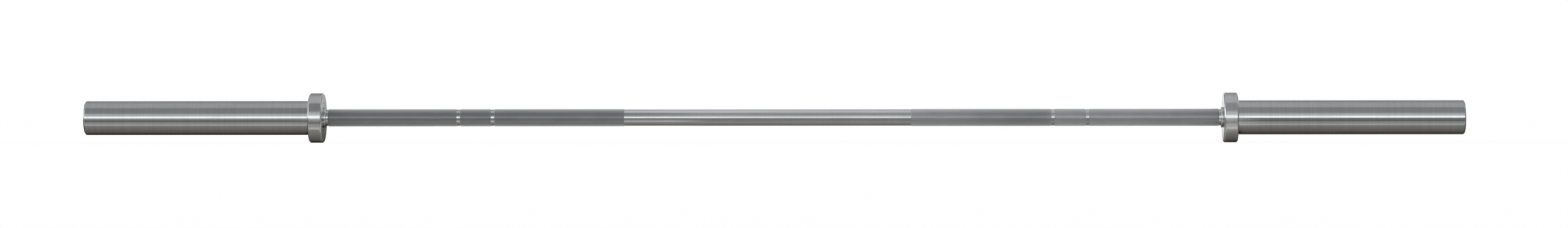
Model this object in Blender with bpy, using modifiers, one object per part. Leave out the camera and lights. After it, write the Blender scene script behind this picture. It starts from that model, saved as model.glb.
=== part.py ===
"""A 15 kg barbell with freely spinning sleeves, built piece by piece as it comes apart on a bench.

X runs along the bar, and the origin is the middle of the bar on its own axis.
Sizes are in millimetres up here and become metres where a shape is made.
Each side is described once, by its distance outwards from the middle of the bar.
"""

import bpy
from math import cos, pi, radians, sin

MM = 0.001

# The bar as a whole.
OVERALL_LENGTH = 2010.0
BETWEEN_COLLARS = 1310.0
SLEEVE_END = OVERALL_LENGTH / 2
COLLAR_FACE = BETWEEN_COLLARS / 2

# The space left between pieces that touch, and between a roller and what it rolls on.
GAP = 0.3
ROLLING_GAP = 0.2

# The shaft, from its middle outwards. Its bare middle stretch is not quite central.
GRIP_D = 25.2
BARE_D = 24.0
BARE_TO_RIGHT = 202.0
BARE_TO_LEFT = 216.0
RING_MARKS_AT = (408.0, 458.0)
RING_MARK_WIDTH = 7.2
RING_MARK_FLOOR = 5.2
KNURL_RUN_OUT = 0.8
NECK_FROM = 648.5

# The journal that the sleeve turns on, with the shoulder that it starts from.
JOURNAL_D = 22.0
JOURNAL_FROM = 668.0
SHAFT_END = 988.0
SHAFT_END_CHAMFER = 1.5

# The sleeve and its collar.
SLEEVE_D = 50.0
SLEEVE_CHAMFER = 2.0
COLLAR_D = 73.0
COLLAR_WIDTH = 21.0
COLLAR_CHAMFER = 2.0
COLLAR_RECESS = 1.0
REGISTER_D = 44.0
BORE_CHAMFER = 0.6

# The sleeve's bore: a seat for a bearing at each end, and relieved between the seats.
SEAT_D = 28.0
INNER_SEAT_TO = 694.0
OUTER_SEAT_FROM = 957.0
OUTER_SEAT_TO = 979.0
RELIEF_D = 28.6
RELIEF_TAPER = 0.5
CHAMBER_D = 34.0
CAP_BORE_D = 40.0
CAP_BORE_FROM = 994.6
CAP_GROOVE_D = 42.6

# The flanged bush in the sleeve's mouth.
BUSH_LIP_D = 30.0
BUSH_LIP_WIDTH = 3.0
BUSH_LIP_CHAMFER = 0.5

# The needle bearings.
CUP_WIDTH = 20.0
CUP_WALL = 0.5
CUP_LIP = 0.9
CUP_LIP_BORE_D = 23.2
INNER_CUP_FROM = 670.4
OUTER_CUP_FROM = 958.0
ROLLER_COUNT = 14
ROLLER_SIDES = 6
ROLLER_LENGTH = 13.6
CAGE_WIDTH = 17.4
CAGE_WALL = 0.7

# The thrust washers.
INNER_WASHER_D = 26.8
INNER_WASHER_WIDTH = 1.6
INNER_WASHER_FROM = 668.4
OUTER_WASHER_D = 33.0
OUTER_WASHER_WIDTH = 2.0
OUTER_WASHER_FROM = 979.4

# The snap rings, and the groove that holds the one on the shaft.
SHAFT_RING_FROM = 981.7
SHAFT_RING_WIDTH = 1.2
SHAFT_GROOVE_D = 20.4
CAP_RING_FROM = 999.6
CAP_RING_WIDTH = 1.75

# The end cap.
CAP_WIDTH = CAP_RING_FROM - CAP_BORE_FROM - 2 * GAP
CAP_RIM = 5.0
CAP_SKIRT = 4.0
CAP_WEB = 1.2
CAP_DISH = 1.0

# How many flat sides stand for a full turn.
COLLAR_SIDES = 48
SLEEVE_SIDES = 36
BUSH_AND_CAP_SIDES = 32
SHAFT_SIDES = 32
BEARING_SIDES = 24
ARC_STEP = radians(15)

# Edges that turn more sharply than this stay crisp.
CRISP_ANGLE = radians(30)

# Each finish is a colour, a roughness, and how much it is metal.
FINISHES = {
    "satin_steel": ((0.42, 0.42, 0.42), 0.34, 1.0),
    "turned_steel": ((0.50, 0.50, 0.50), 0.28, 1.0),
    "collar_steel": ((0.55, 0.55, 0.55), 0.27, 1.0),
    "bearing_steel": ((0.56, 0.57, 0.58), 0.22, 1.0),
    "cage_steel": ((0.38, 0.37, 0.35), 0.38, 1.0),
    "bronze": ((0.50, 0.33, 0.16), 0.35, 1.0),
    "spring_steel": ((0.10, 0.10, 0.11), 0.42, 1.0),
    "cap_aluminium": ((0.62, 0.62, 0.63), 0.36, 1.0),
}


def new_collection(name):
    """Adds a collection under the scene's own."""
    collection = bpy.data.collections.new(name)
    bpy.context.scene.collection.children.link(collection)
    return collection


def add_axle(name, side, collection):
    """An empty on the bar's axis: its Z points outwards, right for 1 and left for -1, and its Y up."""
    axle = bpy.data.objects.new(name, None)
    axle.empty_display_size = 0.05
    axle.rotation_euler = (pi / 2, 0.0, side * pi / 2)
    collection.objects.link(axle)
    return axle


def new_material(name, finish):
    """Makes one piece's own material from the list of finishes."""
    colour, roughness, metallic = FINISHES[finish]
    material = bpy.data.materials.new(name + "_" + finish)
    material.use_nodes = True
    shader = material.node_tree.nodes["Principled BSDF"]
    shader.inputs["Base Color"].default_value = (*colour, 1.0)
    shader.inputs["Roughness"].default_value = roughness
    shader.inputs["Metallic"].default_value = metallic
    return material


def add_piece(name, mesh, finish, axle, at):
    """Puts a mesh on an axle as one piece of the bar, at a distance out along it."""
    piece = bpy.data.objects.new(name, mesh)
    axle.users_collection[0].objects.link(piece)
    piece.parent = axle
    piece.location = (0.0, 0.0, at * MM)
    mesh.name = name
    mesh.materials.append(new_material(name, finish))
    mesh.shade_smooth()
    mesh.set_sharp_from_angle(angle=CRISP_ANGLE)
    return piece


def mesh_of(shape):
    """Takes the mesh that an object's curve or modifiers make, and removes the object."""
    bpy.context.scene.collection.objects.link(shape)
    graph = bpy.context.evaluated_depsgraph_get()
    mesh = bpy.data.meshes.new_from_object(shape.evaluated_get(graph))
    bpy.data.objects.remove(shape)
    return mesh


def turned(points, sides, ring=True):
    """Turns a half outline of (radius, distance) points once round the axis.

    The outline runs down its outer side first. A ring's outline closes on itself, and a solid
    piece's starts and ends on the axis.
    """
    count = len(points)
    corners = [(radius * MM, 0.0, along * MM) for radius, along in points]
    edges = [(i, (i + 1) % count) for i in range(count if ring else count - 1)]
    outline = bpy.data.meshes.new("outline")
    outline.from_pydata(corners, edges, [])
    shape = bpy.data.objects.new("outline", outline)
    turn = shape.modifiers.new("Turn", "SCREW")
    turn.axis = "Z"
    turn.angle = 2 * pi
    turn.steps = sides
    turn.render_steps = sides
    turn.use_merge_vertices = True
    turn.merge_threshold = 0.01 * MM
    mesh = mesh_of(shape)
    bpy.data.meshes.remove(outline)
    return mesh


def shaft_half(bare_to):
    """Half of the shaft's outline, from the end of its journal in to its bare middle."""
    journal = JOURNAL_D / 2
    groove = SHAFT_GROOVE_D / 2
    bare = BARE_D / 2
    grip = GRIP_D / 2
    groove_from = SHAFT_RING_FROM - GAP
    groove_to = SHAFT_RING_FROM + SHAFT_RING_WIDTH + GAP
    points = [
        (0.0, SHAFT_END),
        (journal - SHAFT_END_CHAMFER, SHAFT_END),
        (journal, SHAFT_END - SHAFT_END_CHAMFER),
        (journal, groove_to),
        (groove, groove_to),
        (groove, groove_from),
        (journal, groove_from),
        (journal, JOURNAL_FROM),
        (bare, JOURNAL_FROM),
        (bare, NECK_FROM),
        (grip, NECK_FROM - KNURL_RUN_OUT),
    ]
    for centre in reversed(RING_MARKS_AT):
        points.append((grip, centre + RING_MARK_WIDTH / 2))
        points.append((bare, centre + RING_MARK_FLOOR / 2))
        points.append((bare, centre - RING_MARK_FLOOR / 2))
        points.append((grip, centre - RING_MARK_WIDTH / 2))
    points.append((grip, bare_to + KNURL_RUN_OUT))
    points.append((bare, bare_to))
    return points


def make_shaft(axle):
    """The one-piece shaft: grips, ring marks, bare middle, necks and the two journals."""
    right = shaft_half(BARE_TO_RIGHT)
    left = [(radius, -along) for radius, along in reversed(shaft_half(BARE_TO_LEFT))]
    mesh = turned(right + left, SHAFT_SIDES, ring=False)
    add_piece("shaft", mesh, "satin_steel", axle, 0.0)


def make_sleeve(name, axle):
    """The tube that plates slide on, with the collar's register and every seat and groove inside."""
    outer = SLEEVE_D / 2
    register = REGISTER_D / 2
    seat = SEAT_D / 2
    relief = RELIEF_D / 2
    chamber = CHAMBER_D / 2
    cap_bore = CAP_BORE_D / 2
    cap_groove = CAP_GROOVE_D / 2
    shoulder = COLLAR_FACE + COLLAR_WIDTH - COLLAR_RECESS + GAP
    groove_from = CAP_RING_FROM - GAP
    groove_to = CAP_RING_FROM + CAP_RING_WIDTH + GAP
    points = [
        (outer, SLEEVE_END - SLEEVE_CHAMFER),
        (outer, shoulder),
        (register, shoulder),
        (register, COLLAR_FACE),
        (seat, COLLAR_FACE),
        (seat, INNER_SEAT_TO),
        (relief, INNER_SEAT_TO + RELIEF_TAPER),
        (relief, OUTER_SEAT_FROM - RELIEF_TAPER),
        (seat, OUTER_SEAT_FROM),
        (seat, OUTER_SEAT_TO),
        (chamber, OUTER_SEAT_TO),
        (chamber, CAP_BORE_FROM),
        (cap_bore, CAP_BORE_FROM),
        (cap_bore, groove_from),
        (cap_groove, groove_from),
        (cap_groove, groove_to),
        (cap_bore, groove_to),
        (cap_bore, SLEEVE_END - BORE_CHAMFER),
        (cap_bore + BORE_CHAMFER, SLEEVE_END),
        (outer - SLEEVE_CHAMFER, SLEEVE_END),
    ]
    add_piece(name, turned(points, SLEEVE_SIDES), "turned_steel", axle, 0.0)


def make_collar(name, axle):
    """The flange ring that stops the plates. It sits on the sleeve's register.

    The sleeve's shoulder is let into a shallow recess, so nothing stands over the plates' face.
    """
    outer = COLLAR_D / 2
    bore = REGISTER_D / 2 + GAP
    recess = SLEEVE_D / 2 + GAP
    recess_floor = COLLAR_WIDTH - COLLAR_RECESS
    points = [
        (outer, COLLAR_WIDTH - COLLAR_CHAMFER),
        (outer, COLLAR_CHAMFER),
        (outer - COLLAR_CHAMFER, 0.0),
        (bore, 0.0),
        (bore, recess_floor),
        (recess, recess_floor),
        (recess, COLLAR_WIDTH),
        (outer - COLLAR_CHAMFER, COLLAR_WIDTH),
    ]
    add_piece(name, turned(points, COLLAR_SIDES), "collar_steel", axle, COLLAR_FACE)


def make_bush(name, axle):
    """The flanged bush in the sleeve's mouth, whose lip shows as a ring round the shaft."""
    lip = BUSH_LIP_D / 2
    body = SEAT_D / 2 - GAP
    bore = BARE_D / 2 + GAP
    start = COLLAR_FACE - GAP - BUSH_LIP_WIDTH
    length = JOURNAL_FROM - start
    points = [
        (lip, BUSH_LIP_WIDTH),
        (lip, BUSH_LIP_CHAMFER),
        (lip - BUSH_LIP_CHAMFER, 0.0),
        (bore, 0.0),
        (bore, length),
        (body, length),
        (body, BUSH_LIP_WIDTH),
    ]
    add_piece(name, turned(points, BUSH_AND_CAP_SIDES), "bearing_steel", axle, start)


def make_bearing_cup(name, start, axle):
    """A drawn cup: a thin shell whose two ends turn in to keep the cage."""
    outer = SEAT_D / 2 - GAP
    race = outer - CUP_WALL
    lip = CUP_LIP_BORE_D / 2
    points = [
        (outer, CUP_WIDTH),
        (outer, 0.0),
        (lip, 0.0),
        (lip, CUP_LIP),
        (race, CUP_LIP),
        (race, CUP_WIDTH - CUP_LIP),
        (lip, CUP_WIDTH - CUP_LIP),
        (lip, CUP_WIDTH),
    ]
    add_piece(name, turned(points, BEARING_SIDES), "bearing_steel", axle, start)


def needles(pitch, radius):
    """One cage's needle rollers as six-sided bars, evenly round the axis."""
    mesh = bpy.data.meshes.new("needles")
    corners = []
    faces = []
    for needle in range(ROLLER_COUNT):
        around = 2 * pi * needle / ROLLER_COUNT
        low = len(corners)
        high = low + ROLLER_SIDES
        for along in (-ROLLER_LENGTH / 2, ROLLER_LENGTH / 2):
            for side in range(ROLLER_SIDES):
                turn = around + 2 * pi * side / ROLLER_SIDES
                x = pitch * cos(around) + radius * cos(turn)
                y = pitch * sin(around) + radius * sin(turn)
                corners.append((x * MM, y * MM, along * MM))
        for side in range(ROLLER_SIDES):
            after = (side + 1) % ROLLER_SIDES
            faces.append((low + side, low + after, high + after, high + side))
        faces.append([low + side for side in reversed(range(ROLLER_SIDES))])
        faces.append([high + side for side in range(ROLLER_SIDES)])
    mesh.from_pydata(corners, [], faces)
    return mesh


def make_needle_cage(name, cup_start, axle, cutters):
    """A cage ring with its needle rollers standing through it, inside and out."""
    race = SEAT_D / 2 - GAP - CUP_WALL
    journal = JOURNAL_D / 2
    pitch = (race + journal) / 2
    middle = cup_start + CUP_WIDTH / 2
    points = [
        (pitch + CAGE_WALL / 2, CAGE_WIDTH / 2),
        (pitch + CAGE_WALL / 2, -CAGE_WIDTH / 2),
        (pitch - CAGE_WALL / 2, -CAGE_WIDTH / 2),
        (pitch - CAGE_WALL / 2, CAGE_WIDTH / 2),
    ]
    cage = add_piece(name, turned(points, ROLLER_COUNT), "cage_steel", axle, middle)
    rollers = bpy.data.objects.new(name + "_needles", needles(pitch, race - pitch - ROLLING_GAP))
    cutters.objects.link(rollers)
    rollers.parent = axle
    rollers.location = cage.location
    rollers.hide_render = True
    rollers.display_type = "WIRE"
    join = cage.modifiers.new("Needles", "BOOLEAN")
    join.operation = "UNION"
    join.solver = "EXACT"
    join.object = rollers


def make_washer(name, outer_d, width, start, axle):
    """A flat thrust ring that runs on the journal."""
    bore = JOURNAL_D / 2 + GAP
    points = [
        (outer_d / 2, width),
        (outer_d / 2, 0.0),
        (bore, 0.0),
        (bore, width),
    ]
    add_piece(name, turned(points, BEARING_SIDES), "bronze", axle, start)


def make_end_cap(name, axle):
    """The turned disc that closes the sleeve, hollow behind and slightly dished in front."""
    outer = CAP_BORE_D / 2 - GAP
    floor = CAP_WIDTH - CAP_DISH
    points = [
        (0.0, floor),
        (outer - CAP_RIM - CAP_DISH, floor),
        (outer - CAP_RIM, CAP_WIDTH),
        (outer, CAP_WIDTH),
        (outer, 0.0),
        (outer - CAP_SKIRT, 0.0),
        (outer - CAP_SKIRT, floor - CAP_WEB),
        (0.0, floor - CAP_WEB),
    ]
    mesh = turned(points, BUSH_AND_CAP_SIDES, ring=False)
    add_piece(name, mesh, "cap_aluminium", axle, CAP_BORE_FROM + GAP)


def arc(centre, radius, start, end):
    """Points along an arc of a circle, both ends included."""
    steps = max(1, round(abs(end - start) / ARC_STEP))
    turns = [start + (end - start) * i / steps for i in range(steps + 1)]
    return [(centre[0] + radius * cos(t), centre[1] + radius * sin(t)) for t in turns]


def snap_ring(seat_radius, inward, depth, lug_depth, lug_width, opening, hole_d, width):
    """A snap ring that is open at the top, with a drilled lug on each side of the opening.

    The edge that sits in the groove is round. The free edge is an arc off centre, so the ring is
    deepest opposite its opening. The flat outline and the two holes are filled and made thick.
    """
    way = -1 if inward else 1
    off_centre = depth / 4
    free_radius = seat_radius + way * (depth - off_centre)
    lug_radius = seat_radius + way * lug_depth
    gap_end = opening / 2 / seat_radius
    lug_end = gap_end + lug_width / seat_radius
    top = pi / 2
    outline = arc((0.0, 0.0), seat_radius, top - gap_end, top + gap_end - 2 * pi)
    outline += arc((0.0, 0.0), lug_radius, top + gap_end, top + lug_end)
    outline += arc((0.0, -way * off_centre), free_radius, top + lug_end, top - lug_end + 2 * pi)
    outline += arc((0.0, 0.0), lug_radius, top - lug_end, top - gap_end)

    hole_at = seat_radius + way * 0.6 * lug_depth
    hole_turn = (gap_end + lug_end) / 2
    loops = [outline]
    for hand in (-1, 1):
        centre = (hand * hole_at * sin(hole_turn), hole_at * cos(hole_turn))
        loops.append(arc(centre, hole_d / 2, 0.0, 2 * pi - pi / 4))

    curve = bpy.data.curves.new("snap_ring", "CURVE")
    curve.dimensions = "2D"
    curve.fill_mode = "BOTH"
    curve.extrude = width / 2 * MM
    for loop in loops:
        spline = curve.splines.new("POLY")
        spline.points.add(len(loop) - 1)
        spline.use_cyclic_u = True
        for point, (x, y) in zip(spline.points, loop):
            point.co = (x * MM, y * MM, 0.0, 1.0)
    return mesh_of(bpy.data.objects.new("snap_ring", curve))


def make_shaft_ring(name, axle):
    """The external snap ring that keeps the sleeve on its journal."""
    mesh = snap_ring(
        seat_radius=SHAFT_GROOVE_D / 2 + GAP,
        inward=False,
        depth=3.0,
        lug_depth=5.0,
        lug_width=4.2,
        opening=4.0,
        hole_d=2.0,
        width=SHAFT_RING_WIDTH,
    )
    add_piece(name, mesh, "spring_steel", axle, SHAFT_RING_FROM + SHAFT_RING_WIDTH / 2)


def make_cap_ring(name, axle):
    """The internal snap ring that keeps the end cap in the sleeve."""
    mesh = snap_ring(
        seat_radius=CAP_GROOVE_D / 2 - GAP,
        inward=True,
        depth=3.9,
        lug_depth=7.0,
        lug_width=5.2,
        opening=9.0,
        hole_d=2.5,
        width=CAP_RING_WIDTH,
    )
    add_piece(name, mesh, "spring_steel", axle, CAP_RING_FROM + CAP_RING_WIDTH / 2)


def make_side(hand, side, parts, cutters):
    """One end of the bar: what stays with the shaft, what spins with the sleeve, and the cages."""
    still = add_axle(hand + "_journal_axle", side, parts)
    make_washer(
        hand + "_inner_thrust_washer", INNER_WASHER_D, INNER_WASHER_WIDTH, INNER_WASHER_FROM, still
    )
    make_washer(
        hand + "_outer_thrust_washer", OUTER_WASHER_D, OUTER_WASHER_WIDTH, OUTER_WASHER_FROM, still
    )
    make_shaft_ring(hand + "_shaft_retaining_ring", still)

    spinning = add_axle(hand + "_sleeve_axle", side, parts)
    make_sleeve(hand + "_sleeve", spinning)
    make_collar(hand + "_collar", spinning)
    make_bush(hand + "_inner_bush", spinning)
    make_bearing_cup(hand + "_inner_bearing_cup", INNER_CUP_FROM, spinning)
    make_bearing_cup(hand + "_outer_bearing_cup", OUTER_CUP_FROM, spinning)
    make_end_cap(hand + "_end_cap", spinning)
    make_cap_ring(hand + "_cap_retaining_ring", spinning)

    for place, start in (("inner", INNER_CUP_FROM), ("outer", OUTER_CUP_FROM)):
        rolling = add_axle(hand + "_" + place + "_cage_axle", side, parts)
        make_needle_cage(hand + "_" + place + "_needle_cage", start, rolling, cutters)


def main():
    for old in list(bpy.data.objects):
        bpy.data.objects.remove(old)
    parts = new_collection("barbell")
    cutters = new_collection("barbell_cutters")
    make_shaft(add_axle("shaft_axle", 1, parts))
    make_side("right", 1, parts, cutters)
    make_side("left", -1, parts, cutters)


main()
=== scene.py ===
"""Dresses the barbell: turned and knurled steel over its fixed frame, on a pale stage under soft light.

The meshes are in metres, and measures of the turned pieces are written in millimetres. X runs along
the bar, Z is up, and the viewer stands at -Y.
"""

import bpy
import numpy as np
from bpy.props import FloatProperty, FloatVectorProperty, IntProperty, PointerProperty
from mathutils import Euler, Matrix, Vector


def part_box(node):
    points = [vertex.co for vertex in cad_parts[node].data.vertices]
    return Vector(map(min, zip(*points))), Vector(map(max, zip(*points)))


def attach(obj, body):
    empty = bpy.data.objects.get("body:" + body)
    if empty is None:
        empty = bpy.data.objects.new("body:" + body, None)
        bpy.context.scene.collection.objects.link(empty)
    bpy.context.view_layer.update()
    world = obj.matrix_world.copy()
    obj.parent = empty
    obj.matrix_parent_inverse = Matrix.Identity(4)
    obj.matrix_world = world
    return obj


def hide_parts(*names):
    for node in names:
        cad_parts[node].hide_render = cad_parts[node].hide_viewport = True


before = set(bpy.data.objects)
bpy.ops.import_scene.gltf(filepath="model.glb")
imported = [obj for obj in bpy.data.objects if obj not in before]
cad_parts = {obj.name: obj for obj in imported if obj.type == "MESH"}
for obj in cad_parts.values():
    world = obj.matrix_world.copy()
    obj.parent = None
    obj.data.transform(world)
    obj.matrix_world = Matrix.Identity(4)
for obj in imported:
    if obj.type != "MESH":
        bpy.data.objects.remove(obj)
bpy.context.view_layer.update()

bl_info = {
    "name": "Barbell builder",
    "version": (1, 0, 0),
    "blender": (4, 5, 0),
    "location": "3D View > Sidebar > Barbell",
    "description": "Builds a barbell's shaft, knurled grips, sleeves, collars and end fittings",
    "category": "Add Mesh",
}

MM = 0.001
HANDS = (("left", -1), ("right", 1))


def reach(node, end, axis):
    """How far a CAD node reaches along an axis, in metres: end 0 is its low end and 1 its high end."""
    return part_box(node)[end][axis]


def span(part):
    """The two ends along the bar of a part on its right side, in millimetres from its middle."""
    return reach("right_" + part, 0, 0) / MM, reach("right_" + part, 1, 0) / MM


def rim(part):
    """The greatest radius of a part on the bar's right side, in millimetres."""
    return reach("right_" + part, 1, 2) / MM


SHAFT_END = reach("shaft", 1, 0)


# Sizes and colours


def length_property(name, description, default, unit="LENGTH"):
    """A property that holds a length in metres."""
    return FloatProperty(name=name, description=description, default=default, unit=unit)


def angle_property(name, description, degrees):
    """A property that holds an angle."""
    return FloatProperty(
        name=name, description=description, default=np.radians(degrees), subtype="ANGLE"
    )


def colour_property(name, description, default):
    """A property that holds a colour."""
    return FloatVectorProperty(
        name=name, description=description, default=default, subtype="COLOR"
    )


class ShaftSizes(bpy.types.PropertyGroup):
    """The one-piece shaft and the knurl that is rolled into its grips."""

    grip: length_property("Grip diameter", "Across the tips of the knurl", 2 * reach("shaft", 1, 2))
    bare: length_property(
        "Bare diameter",
        "Across the smooth middle, the necks and the floors of the ring marks",
        24.0 * MM,
    )
    knurl_depth: length_property(
        "Knurl depth", "From the tip of a diamond to the bottom of the groove beside it", 0.14 * MM
    )
    knurl_length: length_property(
        "Diamond length", "One diamond of the knurl, measured along the bar", 2.0 * MM
    )
    knurl_count: IntProperty(
        name="Diamonds around", description="How many go once round the bar", default=58, min=8
    )
    knurl_flat: FloatProperty(
        name="Diamond flat",
        description="The share of a diamond that its worn flat tip takes",
        default=0.28,
        min=0.0,
        max=0.9,
        subtype="FACTOR",
    )


class SleeveSizes(bpy.types.PropertyGroup):
    """The spinning sleeves with their collars, bushes and end caps."""

    edge: length_property("Edge break", "How far the edges of turned pieces are rounded", 0.35 * MM)
    corner: length_property(
        "Corner rounding", "How far the corners beside the large chamfers are rounded", 0.8 * MM
    )
    sides: IntProperty(
        name="Sides", description="Flat sides in a full turn of a large piece", default=160, min=24
    )


class Finishes(bpy.types.PropertyGroup):
    """The colours of the bar's metals."""

    shaft: colour_property(
        "Bare shaft",
        "Drawn and polished steel of the shaft where it has no knurl",
        (0.50, 0.505, 0.51),
    )
    knurl: colour_property("Knurl", "Steel of the knurled grips", (0.200, 0.206, 0.211))
    sleeve: colour_property("Sleeves", "Fine turned steel of the sleeves", (0.45, 0.452, 0.455))
    collar: colour_property("Collars", "Fine turned steel of the collars", (0.50, 0.50, 0.50))
    bearing: colour_property(
        "Bearings and bushes", "Ground steel of the bushes and bearing cups", (0.56, 0.57, 0.58)
    )
    cage: colour_property("Needle cages", "Oiled steel of the needle cages", (0.38, 0.37, 0.35))
    bronze: colour_property("Thrust washers", "Bronze of the thrust washers", (0.50, 0.33, 0.16))
    spring: colour_property("Retaining rings", "Dark phosphated spring steel", (0.10, 0.10, 0.11))
    cap: colour_property("End caps", "Bare turned aluminium of the end caps", (0.62, 0.62, 0.63))


class StageSettings(bpy.types.PropertyGroup):
    """The pale stage, its soft light and the place of the camera."""

    distance: length_property("Camera distance", "From the camera to the bar's axis", 7.0)
    aside: length_property("Camera to the right", "How far right of the bar's middle it stands", 0.197)
    height: length_property("Camera's height", "How far over the bar's axis it stands", 5.2 * MM)
    turn: angle_property("Camera turn", "How far it is turned back to the left", 1.475)
    roll: angle_property("Camera roll", "How far it leans about its line of sight", 0.04)
    lens: length_property("Lens", "Focal length of the camera", 110.34 * MM, "CAMERA")
    floor: colour_property("Floor", "Colour of the pale paper floor", (0.97, 0.97, 0.97))
    level: FloatProperty(
        name="Light level",
        description="Multiplies the light of the studio's cards",
        default=1.0,
        min=0.0,
    )


# Turned shapes

# The most of a side that the rounding of one corner may take, how far out the holding point beside
# it stands, counted in cuts, and the angle in degrees from which an edge stays crisp.
CUT_MOST = 0.4
HOLD_OUT = 1.2
CRISP_FROM = 40.0


def softened(outline, cuts, steps=4):
    """Rounds the corners of a closed half outline, an array of (distance along, radius) points.

    Each corner is cut back along both its sides by its own length, and a parabola joins the two
    cuts. A holding point stands a little outside each cut, so that long flat sides stay flat.
    """
    outline = np.asarray(outline, float)
    back = np.roll(outline, 1, axis=0) - outline
    ahead = np.roll(outline, -1, axis=0) - outline
    back_length = np.linalg.norm(back, axis=1, keepdims=True)
    ahead_length = np.linalg.norm(ahead, axis=1, keepdims=True)
    room = CUT_MOST * np.minimum(back_length, ahead_length)
    cut = np.minimum(np.broadcast_to(np.asarray(cuts, float).reshape(-1, 1), room.shape), room)
    back = back / back_length * cut
    ahead = ahead / ahead_length * cut
    s = np.linspace(0.0, 1.0, steps + 1)[None, :, None]
    bend = outline[:, None] + (1 - s) ** 2 * back[:, None] + s**2 * ahead[:, None]
    first = (outline + HOLD_OUT * back)[:, None]
    last = (outline + HOLD_OUT * ahead)[:, None]
    return np.concatenate([first, bend, last], axis=1).reshape(-1, 2)


def rows_of(*columns):
    """Stretches arrays to one shape, and gives a row for each of its entries."""
    return np.stack(np.broadcast_arrays(*columns), axis=-1).reshape(-1, len(columns))


def mirrored(outline, side):
    """An outline given outwards along the bar, placed on its right side (1) or left side (-1)."""
    return np.asarray(outline, float) * (side, 1.0)


def turned(name, outline, sides, on_axis=False):
    """Turns a closed half outline once round the bar's axis.

    Point i of the outline, (x, r), becomes a ring of points (x, r cos t, r sin t) with t running
    evenly round. Each point of a ring joins the next ring's. With on_axis the outline starts and
    ends on the axis, and each of those two ends is one point that closes its ring as a fan.
    """
    outline = np.asarray(outline, float)
    turn = np.arange(sides) * 2 * np.pi / sides
    x, radius = outline[:, :1], outline[:, 1:]
    if on_axis:
        x, radius = x[1:-1], radius[1:-1]
    rings = len(x)
    points = rows_of(x, radius * np.cos(turn), radius * np.sin(turn))
    spans = rings - 1 if on_axis else rings
    ring = np.arange(spans)[:, None] * sides
    after = (ring + sides) % (rings * sides)
    spot = np.arange(sides)
    beside = (spot + 1) % sides
    faces = [rows_of(ring + spot, ring + beside, after + beside, after + spot)]
    if on_axis:
        poles = np.array([[outline[0, 0], 0.0, 0.0], [outline[-1, 0], 0.0, 0.0]])
        first, last = len(points), len(points) + 1
        points = np.concatenate([points, poles])
        low = (rings - 1) * sides
        faces.append(rows_of(first, beside, spot))
        faces.append(rows_of(low + spot, low + beside, last))
    return new_piece(name, points, faces)


def new_piece(name, points, faces, smooth=True):
    """Puts arrays of points and of faces into a new mesh object, with its faces pointing outwards.

    faces is a list of arrays, each with one face to a row. The enclosed volume is the sum of the
    signed volumes of the pyramids from the origin to each face, and where that sum is negative
    every face is turned round.
    """
    points = np.asarray(points, float)
    signed = 0.0
    for group in faces:
        a = points[group[:, 0]]
        for i in range(1, group.shape[1] - 1):
            b, c = points[group[:, i]], points[group[:, i + 1]]
            signed += np.einsum("ij,ij->i", a, np.cross(b, c)).sum()
    if signed < 0:
        faces = [group[:, ::-1] for group in faces]
    mesh = bpy.data.meshes.new(name)
    sizes = np.concatenate([np.full(len(group), group.shape[1]) for group in faces])
    mesh.vertices.add(len(points))
    mesh.vertices.foreach_set("co", points.ravel())
    mesh.loops.add(int(sizes.sum()))
    mesh.loops.foreach_set("vertex_index", np.concatenate([g.ravel() for g in faces]))
    mesh.polygons.add(len(sizes))
    mesh.polygons.foreach_set("loop_start", np.cumsum(sizes) - sizes)
    mesh.update(calc_edges=True)
    mesh.validate()
    if smooth:
        mesh.shade_smooth()
        mesh.set_sharp_from_angle(angle=np.radians(CRISP_FROM))
    piece = bpy.data.objects.new(name, mesh)
    bpy.context.scene.collection.objects.link(piece)
    return piece


def finish(piece, material, body, slot, *nodes):
    """Gives a piece its material and the body it rides on, and hides the nodes it stands for. The slot
    is not used.
    """
    piece.data.materials.append(material)
    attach(piece, body)
    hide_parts(*nodes)


def turned_pair(piece, part, rows, sides, material, slot):
    """One turned piece on each side of the bar, in place of the CAD part that it stands for.

    rows holds the corners of its outline in millimetres, as (distance along, radius, cut). A row
    without a cut is a crisp corner.
    """
    table = np.array([(*row, CRISP)[:3] for row in rows]) * MM
    for hand, side in HANDS:
        outline = mirrored(softened(table[:, :2], table[:, 2]), side)
        made = turned(hand + "_" + piece, outline, sides)
        finish(made, material, hand + "_sleeve_assembly", slot, hand + "_" + part)


# Knurling


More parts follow.
